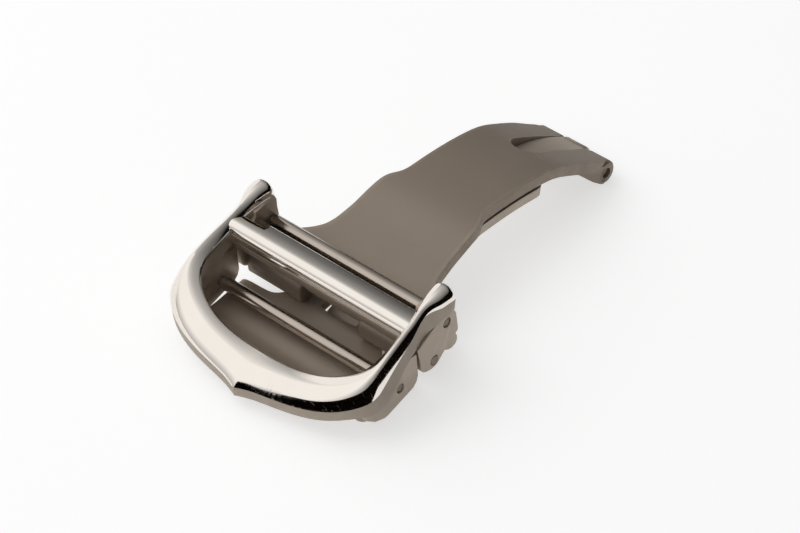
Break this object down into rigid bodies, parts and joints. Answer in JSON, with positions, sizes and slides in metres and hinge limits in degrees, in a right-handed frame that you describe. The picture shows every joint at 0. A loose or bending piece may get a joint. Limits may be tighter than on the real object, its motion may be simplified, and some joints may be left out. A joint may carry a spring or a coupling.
{
  "type": "deployant clasp",
  "caption": "Folding watch strap clasp: a shield-shaped cover frame with a cross bar and horns turns up on a yoke, which swings on two curved nesting blades hinged at the far end.",
  "frame": {"origin": "middle of the closed clasp's box, on the surface that it rests on", "axes": "+X from the point of the frame to the fold, +Y along every hinge pin, +Z away from the wrist"},
  "size_m": [0.0432, 0.022, 0.0096],
  "materials": {
    "polished_steel": "polished",
    "satin_steel": "satin",
    "spring_steel": "drawn wire"
  },
  "bodies": {
    "lower_arm": {"lower_blade": "satin_steel", "strap_bar_tube": "satin_steel", "strap_bar_spring": "spring_steel"},
    "upper_arm": {"upper_blade": "satin_steel", "fold_pin": "satin_steel"},
    "yoke": {"yoke_plate_left": "satin_steel", "yoke_plate_right": "satin_steel", "head_hinge_pin": "satin_steel", "rear_rod_pin": "satin_steel"},
    "cover": {"cover_frame": "polished_steel", "front_rod_pin": "satin_steel"},
    "front_roller": {"front_rod_sleeve": "polished_steel"},
    "rear_roller": {"rear_rod_sleeve": "polished_steel"},
    "bar_tip_left": {"strap_bar_tip_left": "satin_steel"},
    "bar_tip_right": {"strap_bar_tip_right": "satin_steel"}
  },
  "joints": [
    {"name": "fold", "type": "hinge", "parent": "lower_arm", "child": "upper_arm", "pos_m": [0.0205, 0, 0.0011], "axis": [0, 1, 0], "range_deg": [0, 175]},
    {"name": "head_swing", "type": "hinge", "parent": "upper_arm", "child": "yoke", "pos_m": [-0.0092, 0, 0.003], "axis": [0, 1, 0], "range_deg": [-157.5, 0]},
    {"name": "cover_pivot", "type": "hinge", "parent": "yoke", "child": "cover", "pos_m": [-0.00772, 0, 0.006], "axis": [0, 1, 0], "range_deg": [0, 50]},
    {"name": "front_roller_spin", "type": "hinge", "parent": "cover", "child": "front_roller", "pos_m": [-0.01322, 0, 0.00266], "axis": [0, 1, 0], "continuous": true},
    {"name": "rear_roller_spin", "type": "hinge", "parent": "yoke", "child": "rear_roller", "pos_m": [-0.00772, 0, 0.006], "axis": [0, 1, 0], "continuous": true},
    {"name": "bar_tip_left_push", "type": "slide", "parent": "lower_arm", "child": "bar_tip_left", "axis": [0, -1, 0], "range_m": [0, 0.0011], "stiffness_N_per_m": 800, "springref_m": -0.001, "deforming": ["strap_bar_spring"]},
    {"name": "bar_tip_right_push", "type": "slide", "parent": "lower_arm", "child": "bar_tip_right", "axis": [0, 1, 0], "range_m": [0, 0.0011], "stiffness_N_per_m": 800, "springref_m": -0.001, "deforming": ["strap_bar_spring"]}
  ],
  "couplings": [
    {"joint": "head_swing", "follows": "fold", "ratio": -0.9}
  ]
}
